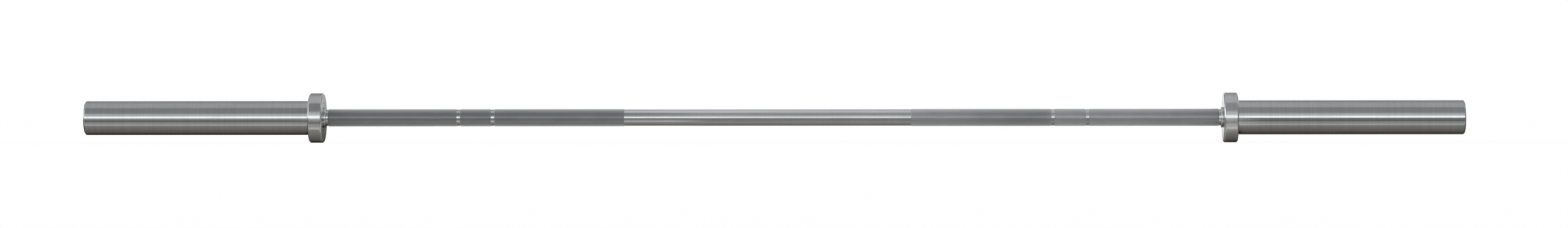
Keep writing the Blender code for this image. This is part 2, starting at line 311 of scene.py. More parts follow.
def knurl_band(name, side, near, far, run_in, run_out, sizes):
    """One band of diamond knurl round the bar, as a closed tube from near to far, in millimetres.

    Two families of grooves wind round the bar in opposite ways. They cross in rings of points half
    a diamond apart along the bar, each ring turned by half a diamond against the last. Between
    four crossings stands one diamond: its four upper corners lie on the lines from its middle to
    the crossings. Over run_in and run_out the radius is held under a straight slope down to the
    bare shaft, so the knurl runs out at the band's two ends. The ends and the inner wall close it.
    """
    count = sizes.knurl_count
    bare, tip = sizes.bare / 2, sizes.grip / 2
    start, end = sorted((side * near * MM, side * far * MM))
    rows = 2 * int(round((end - start) / sizes.knurl_length)) + 1
    last = rows - 1
    x = np.linspace(start, end, rows)
    row = np.arange(rows)
    odd = row % 2
    spot = np.arange(count)
    step = np.pi / count

    def held(radius, x):
        away = np.abs(x) / MM
        share = np.clip(np.minimum((away - near) / run_in, (far - away) / run_out), 0.0, 1.0)
        return np.minimum(radius, bare + (tip - bare) * share)

    cross_turn = (2 * spot[None, :] + odd[:, None]) * step
    cross_x = np.broadcast_to(x[:, None], cross_turn.shape)
    cross_r = held(tip - sizes.knurl_depth, cross_x)

    inner = row[1:-1]
    centre = 2 * spot[None, :] + 1 - odd[inner][:, None]
    half = (x[1] - x[0]) * sizes.knurl_flat
    corner_turn = step * (
        centre[:, :, None] + sizes.knurl_flat * np.array([0.0, 1.0, 0.0, -1.0])
    )
    corner_x = x[inner][:, None, None] + half * np.array([-1.0, 0.0, 1.0, 0.0])
    corner_x = np.broadcast_to(corner_x, corner_turn.shape)
    corner_r = held(tip, corner_x)

    wall_turn = cross_turn[[0, last]]
    wall_x = cross_x[[0, last]]
    wall_r = np.full(wall_turn.shape, bare - BAND_WALL * MM)

    x_all = np.concatenate([cross_x.ravel(), corner_x.ravel(), wall_x.ravel()])
    r_all = np.concatenate([cross_r.ravel(), corner_r.ravel(), wall_r.ravel()])
    t_all = np.concatenate([cross_turn.ravel(), corner_turn.ravel(), wall_turn.ravel()])
    points = rows_of(x_all, r_all * np.cos(t_all), r_all * np.sin(t_all))

    def crossing(r, s):
        return r * count + s % count

    k, m = np.meshgrid(inner, spot, indexing="ij")
    around = (
        crossing(k - 1, m),
        crossing(k, m + 1 - k % 2),
        crossing(k + 1, m),
        crossing(k, m - k % 2),
    )
    corner = rows * count + ((k - 1) * count + m) * 4
    quads = [rows_of(corner, corner + 1, corner + 2, corner + 3)]
    for i in range(4):
        j = (i + 1) % 4
        quads.append(rows_of(around[i], around[j], corner + j, corner + i))

    first_side, first_next = crossing(0, spot), crossing(0, spot + 1)
    last_side, last_next = crossing(last, spot), crossing(last, spot + 1)
    halves = [
        rows_of(first_side, first_next, crossing(1, spot)),
        rows_of(last_next, last_side, crossing(last - 1, spot)),
    ]
    wall = rows * count + len(inner) * count * 4
    wall_first, wall_first_next = wall + spot, wall + (spot + 1) % count
    wall_last, wall_last_next = wall_first + count, wall_first_next + count
    quads.append(rows_of(first_next, first_side, wall_first, wall_first_next))
    quads.append(rows_of(last_side, last_next, wall_last_next, wall_last))
    quads.append(rows_of(wall_first_next, wall_first, wall_last, wall_last_next))
    return new_piece(name, points, quads + halves, smooth=False)


# Materials


def fill(node, values):
    """Gives the inputs of a node their values, each by its name or place."""
    for key, value in values.items():
        node.inputs[key].default_value = value


def new_node(tree, kind, values=None, **settings):
    """Adds a node to a tree, sets its properties by name and then fills its inputs."""
    node = tree.nodes.new(kind)
    for key, value in settings.items():
        setattr(node, key, value)
    fill(node, values or {})
    return node


class Recipe:
    """A material under construction: its node tree, and one place for each new node."""

    def __init__(self, name, colour, roughness):
        self.material = bpy.data.materials.new(name)
        self.material.use_nodes = True
        self.tree = self.material.node_tree
        self.shader = self.tree.nodes["Principled BSDF"]
        fill(self.shader, {"Base Color": (*colour, 1.0), "Roughness": roughness, "Metallic": 1.0})
        self.colour = colour
        self.place = self.node("ShaderNodeTexCoord").outputs["Object"]

    def node(self, kind, values=None, **settings):
        """Adds a node to the material."""
        return new_node(self.tree, kind, values, **settings)

    def join(self, source, target):
        """Links one socket to another."""
        self.tree.links.new(source, target)

    def stretched_noise(self, scale, detail=2.0, squeeze=(1.0, 1.0, 1.0), roughness=0.5):
        """Noise over the object's own coordinates, scaled along each axis first."""
        mapping = self.node("ShaderNodeMapping", {"Scale": squeeze})
        look = {"Scale": scale, "Detail": detail, "Roughness": roughness}
        noise = self.node("ShaderNodeTexNoise", look)
        self.join(self.place, mapping.inputs["Vector"])
        self.join(mapping.outputs["Vector"], noise.inputs["Vector"])
        return noise.outputs["Fac"]

    def ranged(self, source, to_low, to_high, low=0.30, high=0.70):
        """Carries a value from one range to another, smoothly and held at both ends.

        Most of a noise lies between the low and high that stand here.
        """
        ends = {"From Min": low, "From Max": high, "To Min": to_low, "To Max": to_high}
        spread = self.node("ShaderNodeMapRange", ends, interpolation_type="SMOOTHSTEP")
        self.join(source, spread.inputs["Value"])
        return spread.outputs["Result"]

    def ramp(self, source, stops):
        """Carries a value through straight lines between stops of (value, result)."""
        low, high = stops[0][0], stops[-1][0]
        most = max(result for _, result in stops)
        spread = self.node("ShaderNodeMapRange", {"From Min": low, "From Max": high})
        self.join(source, spread.inputs["Value"])
        ramp = self.node("ShaderNodeValToRGB")
        elements = ramp.color_ramp.elements
        while len(elements) < len(stops):
            elements.new(0.5)
        for element, (value, result) in zip(elements, stops):
            element.position = (value - low) / (high - low)
            element.color = (result / most, result / most, result / most, 1.0)
        self.join(spread.outputs["Result"], ramp.inputs["Fac"])
        scale = self.node("ShaderNodeMath", {1: most}, operation="MULTIPLY")
        self.join(ramp.outputs["Color"], scale.inputs[0])
        return scale.outputs[0]

    def product(self, *sources):
        """Multiplies values together."""
        total = sources[0]
        for source in sources[1:]:
            step = self.node("ShaderNodeMath", operation="MULTIPLY")
            self.join(total, step.inputs[0])
            self.join(source, step.inputs[1])
            total = step.outputs[0]
        return total

    def tint(self, *shades):
        """Sets the base colour to the metal's colour times shades that vary over the surface."""
        shade = self.product(*shades)
        mix = self.node("ShaderNodeMix", {"Factor": 1.0}, data_type="RGBA", blend_type="MULTIPLY")
        grey = self.node("ShaderNodeCombineColor")
        for channel in ("Red", "Green", "Blue"):
            self.join(shade, grey.inputs[channel])
        colours = [s for s in mix.inputs if s.type == "RGBA"]
        colours[0].default_value = (*self.colour, 1.0)
        self.join(grey.outputs["Color"], colours[1])
        result = [s for s in mix.outputs if s.type == "RGBA"][0]
        self.join(result, self.shader.inputs["Base Color"])

    def roughen(self, *shares):
        """Sets the roughness to a product of values that vary over the surface."""
        self.join(self.product(*shares), self.shader.inputs["Roughness"])

    def grain(self, height, distance):
        """Raises the surface by a height times a distance in metres, as fine tool marks."""
        bump = self.node("ShaderNodeBump", {"Strength": 1.0, "Distance": distance})
        self.join(height, bump.inputs["Height"])
        self.join(bump.outputs["Normal"], self.shader.inputs["Normal"])


def turned_metal(name, colour, roughness, line=0.5, depth=1.0):
    """Fine turned metal: rings left by the tool, broader bands of the feed, and handling smudges.

    line is the spacing of the tool marks in millimetres, and depth scales how plainly they show.
    """
    recipe = Recipe(name, colour, roughness)
    fine = recipe.stretched_noise(1.0 / (line * MM), 3.0, (1.0, 0.004, 0.004), 0.7)
    feed = recipe.stretched_noise(0.12 / (line * MM), 2.0, (1.0, 0.02, 0.02))
    smudge = recipe.stretched_noise(38.0, 5.0, (0.35, 1.0, 1.0), 0.62)
    recipe.tint(
        recipe.ranged(fine, 1.0 - 0.10 * depth, 1.0 + 0.06 * depth),
        recipe.ranged(feed, 1.0 - 0.05 * depth, 1.0 + 0.04 * depth),
        recipe.ranged(smudge, 1.0, 0.93, 0.35, 0.72),
    )
    recipe.roughen(
        recipe.ranged(fine, 0.86 * roughness, 1.16 * roughness),
        recipe.ranged(smudge, 0.92, 1.28, 0.38, 0.75),
    )
    recipe.grain(fine, 0.004 * MM * depth)
    return recipe.material


def drawn_metal(name, colour, roughness):
    """Drawn and polished bar: faint long streaks along it, light turning marks and smudges."""
    recipe = Recipe(name, colour, roughness)
    streak = recipe.stretched_noise(900.0, 3.0, (0.02, 1.0, 1.0), 0.6)
    marks = recipe.stretched_noise(1400.0, 2.0, (1.0, 0.01, 0.01), 0.6)
    smudge = recipe.stretched_noise(45.0, 5.0, (0.3, 1.0, 1.0), 0.6)
    recipe.tint(
        recipe.ranged(streak, 0.94, 1.04),
        recipe.ranged(marks, 0.95, 1.03),
        recipe.ranged(smudge, 1.0, 0.92, 0.35, 0.70),
    )
    recipe.roughen(
        recipe.ranged(streak, 0.90 * roughness, 1.12 * roughness),
        recipe.ranged(smudge, 0.92, 1.30, 0.38, 0.75),
    )
    recipe.grain(streak, 0.003 * MM)
    return recipe.material


# How light the knurl is painted along the bar, in metres from its middle: painted light and shade,
# darker over the left grip and lighter over the right one.
KNURL_PAINTED_LIGHT = (
    (-0.65, 0.75),
    (-0.22, 0.79),
    (0.20, 1.48),
    (0.25, 1.37),
    (0.292, 1.20),
    (0.355, 0.96),
    (0.40, 0.99),
    (0.412, 1.44),
    (0.515, 1.39),
    (0.62, 1.12),
)


def knurled_metal(name, colour, roughness, sizes):
    """Knurled grip: darker in colour, rougher and less metallic down in the grooves than at the tips,
    with painted light and shade along the bar.

    The distance from the bar's axis tells a tip from a groove.
    """
    recipe = Recipe(name, colour, roughness)
    split = recipe.node("ShaderNodeSeparateXYZ")
    recipe.join(recipe.place, split.inputs["Vector"])
    flat = recipe.node("ShaderNodeCombineXYZ")
    recipe.join(split.outputs["Y"], flat.inputs["X"])
    recipe.join(split.outputs["Z"], flat.inputs["Y"])
    away = recipe.node("ShaderNodeVectorMath", operation="LENGTH")
    recipe.join(flat.outputs["Vector"], away.inputs[0])
    radius = away.outputs["Value"]
    tip = sizes.grip / 2
    bottom = tip - sizes.knurl_depth
    # The colour darkens from the tips down towards the grooves.
    worn = recipe.ranged(radius, 0.72, 1.06, bottom + 0.15 * (tip - bottom), tip)
    grime = recipe.stretched_noise(70.0, 4.0, (0.4, 1.0, 1.0), 0.6)
    speck = recipe.stretched_noise(2600.0, 2.0)
    recipe.tint(
        # Painted light and shade along the bar: darker over the left grip, lighter over the right one.
        recipe.ramp(split.outputs["X"], KNURL_PAINTED_LIGHT),
        worn,
        recipe.ranged(grime, 1.05, 0.90, 0.30, 0.72),
        recipe.ranged(speck, 0.90, 1.08),
    )
    recipe.roughen(
        recipe.ranged(radius, 1.60 * roughness, 0.80 * roughness, bottom, tip),
        recipe.ranged(grime, 0.92, 1.15, 0.30, 0.72),
    )
    bare = recipe.ranged(radius, 0.36, 0.54, bottom, tip)
    recipe.join(bare, recipe.shader.inputs["Metallic"])
    fill(recipe.shader, {"Sheen Weight": 1.0, "Sheen Roughness": 0.55})
    recipe.grain(speck, 0.01 * MM)
    return recipe.material


def coated_metal(name, colour, roughness):
    """Phosphated or oiled steel: a dull coat with a fine crystal grain and rubbed patches."""
    recipe = Recipe(name, colour, roughness)
    crystal = recipe.stretched_noise(3200.0, 2.0)
    rubbed = recipe.stretched_noise(260.0, 4.0)
    recipe.tint(
        recipe.ranged(crystal, 0.84, 1.12),
        recipe.ranged(rubbed, 0.95, 1.25, 0.45, 0.75),
    )
    recipe.roughen(
        recipe.ranged(crystal, 0.90 * roughness, 1.15 * roughness),
        recipe.ranged(rubbed, 1.05, 0.80, 0.45, 0.75),
    )
    recipe.grain(crystal, 0.006 * MM)
    return recipe.material


# The shaft

# Its measures, in millimetres, with lengths from its middle. The bare middle is not quite central.
BARE_TO = {"left": 216.0, "right": 202.0}
RING_MARKS = (408.0, 458.0)
RING_MARK_WIDTH = 7.2
RING_MARK_FLOOR = 5.2
RUN_OUT = 0.8
NECK_FROM = 648.5
JOURNAL_FROM = 668.0
JOURNAL_D = 22.0
GROOVE_FROM = 981.4
GROOVE_TO = 983.2
GROOVE_D = 20.4
SHAFT_CHAMFER = 1.5
SHAFT_EDGE = 0.08

# How many flat sides stand for a full turn of the shaft, and of the bushes and end caps.
SHAFT_SIDES = 120
SMALL_SIDES = 96

# Under a band of knurl the core is turned down by the band's seat, which runs a little past the
# band's ends. The band's inner wall lies less deep, so the two never touch.
BAND_SEAT = 0.2
BAND_SEAT_PAST = 0.03
BAND_WALL = 0.15


def grip_bands(hand):
    """The knurled bands of one side, as (name, start, end, run-out at the start, at the end)."""
    slope = (RING_MARK_WIDTH - RING_MARK_FLOOR) / 2
    half = RING_MARK_FLOOR / 2
    first, second = RING_MARKS
    return (
        ("inner", BARE_TO[hand], first - half, RUN_OUT, slope),
        ("middle", first + half, second - half, slope, slope),
        ("outer", second + half, NECK_FROM, slope, RUN_OUT),
    )


def shaft_half(hand, sizes):
    """One half of the shaft's outline, from its middle out to its end."""
    bare = sizes.bare / 2 / MM
    seat = bare - BAND_SEAT
    points = []
    for _, start, end, _, _ in grip_bands(hand):
        low, high = start - BAND_SEAT_PAST, end + BAND_SEAT_PAST
        points += [(low, bare), (low, seat), (high, seat), (high, bare)]
    journal, groove = JOURNAL_D / 2, GROOVE_D / 2
    end = SHAFT_END / MM
    points += [
        (JOURNAL_FROM, bare),
        (JOURNAL_FROM, journal),
        (GROOVE_FROM, journal),
        (GROOVE_FROM, groove),
        (GROOVE_TO, groove),
        (GROOVE_TO, journal),
        (end - SHAFT_CHAMFER, journal),
        (end, journal - SHAFT_CHAMFER),
    ]
    return np.array(points) * MM


class BARBELL_OT_shaft(bpy.types.Operator):
    """Turn the shaft's core, with its bare middle, ring marks, necks and journals"""

    bl_idname = "barbell.shaft"
    bl_label = "Shaft core"

    def execute(self, context):
        sizes = context.scene.barbell_shaft
        colours = context.scene.barbell_finishes
        left = mirrored(shaft_half("left", sizes), -1)[::-1]
        both = np.concatenate([left, shaft_half("right", sizes)])
        rounded = softened(both, SHAFT_EDGE * MM, 2)[1:-1]
        poles = np.array([[-SHAFT_END, 0.0], [SHAFT_END, 0.0]])
        outline = np.concatenate([poles[:1], rounded, poles[1:]])
        core = turned("shaft_core", outline, SHAFT_SIDES, on_axis=True)
        material = drawn_metal("bare_shaft_steel", colours.shaft, 0.13)
        finish(core, material, "shaft", "shaft_steel", "shaft")
        return {"FINISHED"}


class BARBELL_OT_grips(bpy.types.Operator):
    """Roll the three bands of diamond knurl into each side of the shaft"""

    bl_idname = "barbell.grips"
    bl_label = "Knurled grips"

    def execute(self, context):
        sizes = context.scene.barbell_shaft
        colours = context.scene.barbell_finishes
        material = knurled_metal("knurled_steel", colours.knurl, 0.11, sizes)
        for hand, side in HANDS:
            for place, *measures in grip_bands(hand):
                band = knurl_band(hand + "_" + place + "_knurl", side, *measures, sizes)
                finish(band, material, "shaft", "shaft_steel", "shaft")
        return {"FINISHED"}


# The sleeves and what spins with them

# Their measures, in millimetres, with lengths from the bar's middle. A sleeve's bore has a seat
# for a bearing at each end, is relieved between the seats, and opens in steps towards its cap.
# Pieces that touch keep a small gap.
GAP = 0.3
CHAMFER = 2.0
REGISTER_D = 44.0
SEAT_D = 28.0
INNER_SEAT_TO = 694.0
OUTER_SEAT_FROM = 957.0
OUTER_SEAT_TO = 979.0
RELIEF_D = 28.6
RELIEF_TAPER = 0.5
CHAMBER_D = 34.0
CAP_BORE_D = 40.0
CAP_BORE_FROM = 994.6
CAP_GROOVE_D = 42.6
CAP_GROOVE_FROM = 999.3
CAP_GROOVE_TO = 1001.65
BORE_CHAMFER = 0.6
COLLAR_RECESS = 1.0
RECESS_D = 50.6
BUSH_BORE_D = 24.6
BUSH_LIP_WIDTH = 3.0
BUSH_LIP_CHAMFER = 0.5
CAP_DISH = 1.0
CAP_WEB = 1.2
CAP_RIM = 5.0
CAP_SKIRT = 4.0

# How far a crisp corner is rounded.
CRISP = 0.1


class BARBELL_OT_sleeves(bpy.types.Operator):
    """Turn the two sleeves, with the collar's register and every seat and groove inside"""

    bl_idname = "barbell.sleeves"
    bl_label = "Sleeves"

    def execute(self, context):
        sizes = context.scene.barbell_sleeves
        colours = context.scene.barbell_finishes
        material = turned_metal("sleeve_turned_steel", colours.sleeve, 0.13, 0.6, 0.7)
        corner = sizes.corner / MM
        outer = rim("sleeve")
        end = span("sleeve")[1]
        face, collar_back = span("collar")
        shoulder = collar_back - COLLAR_RECESS + GAP
        register, seat, relief = REGISTER_D / 2, SEAT_D / 2, RELIEF_D / 2
        chamber, cap_bore, cap_groove = CHAMBER_D / 2, CAP_BORE_D / 2, CAP_GROOVE_D / 2
        rows = (
            (end - CHAMFER, outer, corner),
            (shoulder, outer),
            (shoulder, register),
            (face, register, sizes.edge / MM),
            (face, seat),
            (INNER_SEAT_TO, seat),
            (INNER_SEAT_TO + RELIEF_TAPER, relief),
            (OUTER_SEAT_FROM - RELIEF_TAPER, relief),
            (OUTER_SEAT_FROM, seat),
            (OUTER_SEAT_TO, seat),
            (OUTER_SEAT_TO, chamber),
            (CAP_BORE_FROM, chamber),
            (CAP_BORE_FROM, cap_bore),
            (CAP_GROOVE_FROM, cap_bore),
            (CAP_GROOVE_FROM, cap_groove),
            (CAP_GROOVE_TO, cap_groove),
            (CAP_GROOVE_TO, cap_bore),
            (end - BORE_CHAMFER, cap_bore, 2 * CRISP),
            (end, cap_bore + BORE_CHAMFER, 2 * CRISP),
            (end, outer - CHAMFER, corner),
        )
        turned_pair("sleeve_tube", "sleeve", rows, sizes.sides, material, "sleeve_steel")
        return {"FINISHED"}


class BARBELL_OT_collars(bpy.types.Operator):
    """Turn the two collars that stop the plates"""

    bl_idname = "barbell.collars"
    bl_label = "Collars"

    def execute(self, context):
        sizes = context.scene.barbell_sleeves
        colours = context.scene.barbell_finishes
        material = turned_metal("collar_turned_steel", colours.collar, 0.14, 0.45, 0.7)
        corner = sizes.corner / MM
        outer = rim("collar")
        bore = REGISTER_D / 2 + GAP
        recess = RECESS_D / 2
        near, far = span("collar")
        rows = (
            (far - CHAMFER, outer, corner),
            (near + CHAMFER, outer, corner),
            (near, outer - CHAMFER, corner),
            (near, bore, sizes.edge / MM),
            (far - COLLAR_RECESS, bore),
            (far - COLLAR_RECESS, recess),
            (far, recess, 1.5 * CRISP),
            (far, outer - CHAMFER, corner),
        )
        turned_pair("collar_ring", "collar", rows, sizes.sides, material, "collar_steel")
        return {"FINISHED"}


class BARBELL_OT_bushes(bpy.types.Operator):
    """Turn the flanged bush in each sleeve's mouth"""

    bl_idname = "barbell.bushes"
    bl_label = "Inner bushes"

    def execute(self, context):
        colours = context.scene.barbell_finishes
        material = turned_metal("bush_ground_steel", colours.bearing, 0.16, 0.3, 0.7)
        lip = rim("inner_bush")
        bore = BUSH_BORE_D / 2
        body = SEAT_D / 2 - GAP
        near, far = span("inner_bush")
        rows = (
            (near + BUSH_LIP_WIDTH, lip),
            (near + BUSH_LIP_CHAMFER, lip, 0.25),
            (near, lip - BUSH_LIP_CHAMFER, 0.25),
            (near, bore, 0.3),
            (far, bore, 0.2),
            (far, body, 0.2),
            (near + BUSH_LIP_WIDTH, body),
        )
        turned_pair("bush_ring", "inner_bush", rows, SMALL_SIDES, material, "bearing_steel")
        return {"FINISHED"}


class BARBELL_OT_end_caps(bpy.types.Operator):
    """Turn the dished cap that closes each sleeve"""

    bl_idname = "barbell.end_caps"
    bl_label = "End caps"

    def execute(self, context):
        colours = context.scene.barbell_finishes
        material = turned_metal("cap_turned_aluminium", colours.cap, 0.24, 0.5, 1.2)
        outer = rim("end_cap")
        back, front = span("end_cap")
        dish = front - CAP_DISH
        inside = dish - CAP_WEB
        near_axis = 0.05
        rows = (
            (dish, near_axis, 0.01),
            (dish, outer - CAP_RIM - CAP_DISH, 0.4),
            (front, outer - CAP_RIM, 0.4),
            (front, outer, 0.3),
            (back, outer, 0.3),
            (back, outer - CAP_SKIRT, 0.2),
            (inside, outer - CAP_SKIRT, 0.2),
            (inside, near_axis, 0.01),
        )
        table = np.array(rows) * MM
        # A point on the axis takes the place of the inner half of each corner beside it.
        rounded = softened(table[:, :2], table[:, 2])[4:-4]
        poles = np.array([[dish, 0.0], [inside, 0.0]]) * MM
        outline = np.concatenate([poles[:1], rounded, poles[1:]])
        for hand, side in HANDS:
            cap = turned(hand + "_cap_disc", mirrored(outline, side), SMALL_SIDES, on_axis=True)
            finish(cap, material, hand + "_sleeve_assembly", "cap_aluminium", hand + "_end_cap")
        return {"FINISHED"}


# The cap's snap ring, in millimetres: how deep its bow is at the bottom, how wide it is open, the
# radii of an eye and of its hole, how far inside the ring's seat an eye's middle lies, and how far
# inside it the eye's width is laid off beside the opening. Then how many points run along the bow
# and round an eye.
BOW_DEPTH = 3.9
OPENING = 9.0
EYE_R = 2.75
EYE_HOLE_R = 1.25
EYE_INSET = 3.9
EYE_ARM_INSET = 3.6
BOW_POINTS = 121
EYE_POINTS = 48


def snap_ring(name, seat, low, high):
    """An internal snap ring, open at the top, with a drilled eye at each end of its bow.

    The bow is a small rounded rectangle carried along an arc: it is deepest at the bottom and
    narrows by a third towards the eyes, as depth times (5 + cos t) / 6 with t measured from the
    bottom. An eye is the same rectangle carried once round its hole.
    """
    depth = BOW_DEPTH * MM
    width = high - low
    corners = np.array([[low, 0.0], [high, 0.0], [high, 1.0], [low, 1.0]])
    section = softened(corners * (1.0, depth), 0.12 * width, 3) / (1.0, depth)
    x, share = section[:, 0], section[:, 1]
    lean = OPENING * MM / 2 / seat
    along = np.linspace(-np.pi + lean, np.pi - lean, BOW_POINTS)[:, None]
    thick = depth * (5 + np.cos(along)) / 6
    radius = seat - share[None, :] * thick
    points = [rows_of(x, radius * np.sin(along), -radius * np.cos(along))]
    size = len(x)
    ring = np.arange(BOW_POINTS - 1)[:, None] * size
    spot = np.arange(size)
    beside = (spot + 1) % size
    quads = [rows_of(ring + spot, ring + beside, ring + size + beside, ring + size + spot)]
    total = BOW_POINTS * size
    ends = [np.arange(size)[None, ::-1], np.arange(total - size, total)[None, :]]
    around = np.linspace(0.0, 2 * np.pi, EYE_POINTS + 1)[:-1, None]
    hole, eye = EYE_HOLE_R * MM, EYE_R * MM
    turn = lean + eye / (seat - EYE_ARM_INSET * MM)
    out = hole + share[None, :] * (eye - hole)
    for _, side in HANDS:
        y, z = (seat - EYE_INSET * MM) * np.array([side * np.sin(turn), np.cos(turn)])
        points.append(rows_of(x, y + out * np.cos(around), z + out * np.sin(around)))
        steps = np.arange(EYE_POINTS)[:, None]
        here, there = total + steps * size, total + (steps + 1) % EYE_POINTS * size
        quads.append(rows_of(here + beside, here + spot, there + spot, there + beside))
        total += EYE_POINTS * size
    return new_piece(name, np.concatenate(points), quads + ends)


class BARBELL_OT_cap_rings(bpy.types.Operator):
    """Bend the snap ring that keeps each end cap in its sleeve"""

    bl_idname = "barbell.cap_rings"
    bl_label = "Cap retaining rings"

    def execute(self, context):
        colours = context.scene.barbell_finishes
        material = coated_metal("phosphated_spring_steel", colours.spring, 0.42)
        for hand, _ in HANDS:
            node = hand + "_cap_retaining_ring"
            (low, _, _), (high, seat, _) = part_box(node)
            ring = snap_ring(hand + "_cap_snap_ring", seat, low, high)
            finish(ring, material, hand + "_sleeve_assembly", "spring_steel", node)
        return {"FINISHED"}


class BARBELL_OT_bearings(bpy.types.Operator):
    """Give the sealed bearing cups, cages, washers and shaft rings their metals"""

    bl_idname = "barbell.bearings"
    bl_label = "Bearings"

    def execute(self, context):
        colours = context.scene.barbell_finishes
        metals = {
            "bearing_cup": turned_metal("cup_drawn_steel", colours.bearing, 0.2, 0.3, 0.6),
            "needle_cage": coated_metal("cage_oiled_steel", colours.cage, 0.36),
            "thrust_washer": turned_metal("washer_bronze", colours.bronze, 0.32, 0.3),
            "shaft_retaining_ring": coated_metal("shaft_ring_steel", colours.spring, 0.42),
        }
        for name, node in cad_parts.items():
            for ending, metal in metals.items():
                if name.endswith(ending):
                    node.data.materials.clear()
                    node.data.materials.append(metal)
        return {"FINISHED"}


# The stage

# What the steel mirrors, by elevation in degrees round the bar's axis: from the viewer's horizon up
# over the top, and from the horizon down under the bar. A panel is its two edges, how softly each
# of them fades, its brightness, its warmth, and its two ends along the bar in metres. A flag has a
# brightness below nothing, because it takes light away.
UPPER_PANELS = (
    ("ceiling", -20.0, 150.0, 1.0, 44.0, 0.43, -0.02, -9.0, 9.0),
    ("softbox overhead", 70.5, 122.0, 6.0, 36.0, 0.25, -0.02, -9.0, 9.0),
    ("softbox over the left grip", 76.0, 150.0, 8.0, 40.0, 0.06, -0.03, -1.0, -0.39),
    ("softbox over the bare middle", 74.0, 160.0, 10.0, 40.0, 0.28, -0.03, -0.39, 0.22),
    ("softbox over the right grip", 76.0, 160.0, 8.0, 40.0, 0.14, -0.03, 0.22, 0.85),
    ("softbox's edge over the left grip", 80.0, 150.0, 10.0, 30.0, 0.12, -0.03, -0.66, -0.30),
    ("flag over the left grip", 26.0, 74.0, 10.0, 10.0, -0.17, 0.0, -1.0, -0.39),
    ("flag's edge over the left grip", 11.0, 28.0, 6.0, 8.0, -0.20, 0.0, -0.66, -0.30),
    ("lit wall by the shaft", 24.0, 74.0, 16.0, 10.0, 0.10, 0.0, -0.39, 0.85),
    ("glow over the strip", -20.0, 27.0, 1.0, 14.0, 0.46, -0.03, -9.0, 9.0),
    ("strip lamp", -2.0, 9.0, 5.0, 6.0, 1.35, -0.01, -9.0, 9.0),
    ("flag before the strip lamp", -2.0, 9.0, 5.0, 6.0, -0.50, 0.0, -0.28, 0.81),
)
LOWER_PANELS = (
    ("shade under the bar", 0.0, 200.0, 1.0, 1.0, 0.03, 0.10, -9.0, 9.0),
    ("table", 0.0, 132.0, 1.0, 16.0, 0.02, 0.08, -9.0, 9.0),
    ("strip lamp's foot", -1.0, 2.6, 1.0, 5.0, 1.65, -0.01, -9.0, 9.0),
    ("flag before the strip lamp's foot", -1.0, 2.6, 1.0, 5.0, -0.60, 0.0, -0.18, 0.55),
    ("table's far edge", 0.0, 16.0, 1.0, 20.0, 0.36, -0.06, -9.0, 9.0),
    ("table near the bar", 27.5, 130.0, 6.0, 30.0, 0.11, 0.16, -9.0, 9.0),
    ("table under the shaft", 58.0, 132.0, 16.0, 30.0, 0.10, 0.10, -0.64, 0.64),
    ("table top", 0.0, 90.0, 1.0, 70.0, 0.20, -0.03, -9.0, 9.0),
    ("light card, left", 28.0, 56.0, 6.0, 9.0, 0.17, -0.03, -9.0, -0.12),
    ("light card, right", 28.0, 56.0, 6.0, 9.0, 0.17, 0.0, 0.60, 9.0),
    ("light card's edge by the left sleeve", 45.0, 54.0, 8.0, 8.0, 0.26, 0.02, -9.0, -0.65),
    ("light card's edge by the left grip", 47.0, 58.0, 7.0, 7.0, 0.46, 0.02, -0.65, -0.12),
    ("light card's edge by the right sleeve", 45.0, 54.0, 8.0, 8.0, 0.26, 0.02, 0.65, 9.0),
    ("flag by the left grip", 10.0, 34.0, 8.0, 8.0, -0.13, 0.0, -0.64, -0.25),
    ("flag by the left sleeve", 3.0, 24.0, 4.0, 6.0, -0.10, 0.0, -9.0, -0.70),
    ("flag by the right sleeve", 4.0, 24.0, 4.0, 8.0, -0.11, 0.0, 0.70, 9.0),
    ("flag's edge by the right sleeve", 4.0, 14.0, 3.0, 8.0, -0.16, 0.0, 0.70, 9.0),
    ("light card by the right collar", 6.0, 66.0, 14.0, 30.0, 0.20, 0.02, 0.64, 0.69),
)

# How the stage is laid out, in metres. The paper is plain white by the share PAPER_WHITE where it is
# seen directly, and the cards and flags lie just clear of it. A panel fades over PANEL_FADE at its
# ends along the bar. The upper card is a half pipe about the bar's axis, and past its fold, in
# degrees, it repeats what the viewer's side has.
PAPER_LINES = (-60.0, -6.0, 6.0, 60.0)
PAPER_WHITE = 0.88
CARDS_CLEAR = 0.2 * MM
FLAGS_CLEAR = 0.1 * MM
CARDS_END = 4.0
PANEL_FADE = 0.06
UPPER_RADIUS = 3.0
UPPER_FOLD = 130.0

# Where the lower cards' grid lines stand beside the bar's middle, and how the radius of the steel
# over them goes from the shaft's through the collar's to the sleeve's, as (along, radius).
LOWER_GRID = (
    *(0.0, 0.09, 0.11, 0.13, 0.15, 0.56, 0.58, 0.60, 0.62),
    *(0.64, 0.65, 0.66, 0.677, 0.684, 0.70, 0.72, 0.74, CARDS_END),
)
STEEL_OVER = ((0.65, 0.012), (0.66, 0.036), (0.677, 0.036), (0.684, 0.025))

# The share of its light that the back card has close to the bar, beside the shaft and, from
# SLEEVE_SHADE_FROM outwards, beside a sleeve. It grows to the whole between SHADE_TO and SHADE_END.
SHAFT_SHADE = 0.75
SLEEVE_SHADE = 0.35
SLEEVE_SHADE_FROM = 0.68
SHADE_TO = 0.06
SHADE_END = 0.10

# The flags behind the shaft: where each begins and ends along the bar, and its light at the steps
# out from the axis and up from the floor that both share.
FLAG_AWAY = (0.0, 0.2, 0.4, 0.4, 0.4, 0.4)
FLAG_UP = (0.0, 0.0, 0.0, 0.022, 0.047, 0.25)
FLAGS = {
    "left_flag": (-0.50, -0.652, (0.06, 0.06, 0.08, 0.14, 0.48, 0.60)),
    "right_flag": (0.40, 0.652, (0.34, 0.34, 0.52, 1.00, 1.00, 1.05)),
}

# The two upright cards beyond the bar's ends: place along the bar, front and back edges, top edge
# and level.
END_CARDS = {
    "side_card": (3.95, -2.9, 1.5, 2.5, 0.45),
    "end_softbox": (-3.95, -1.6, 0.25, 2.0, 2.4),
}


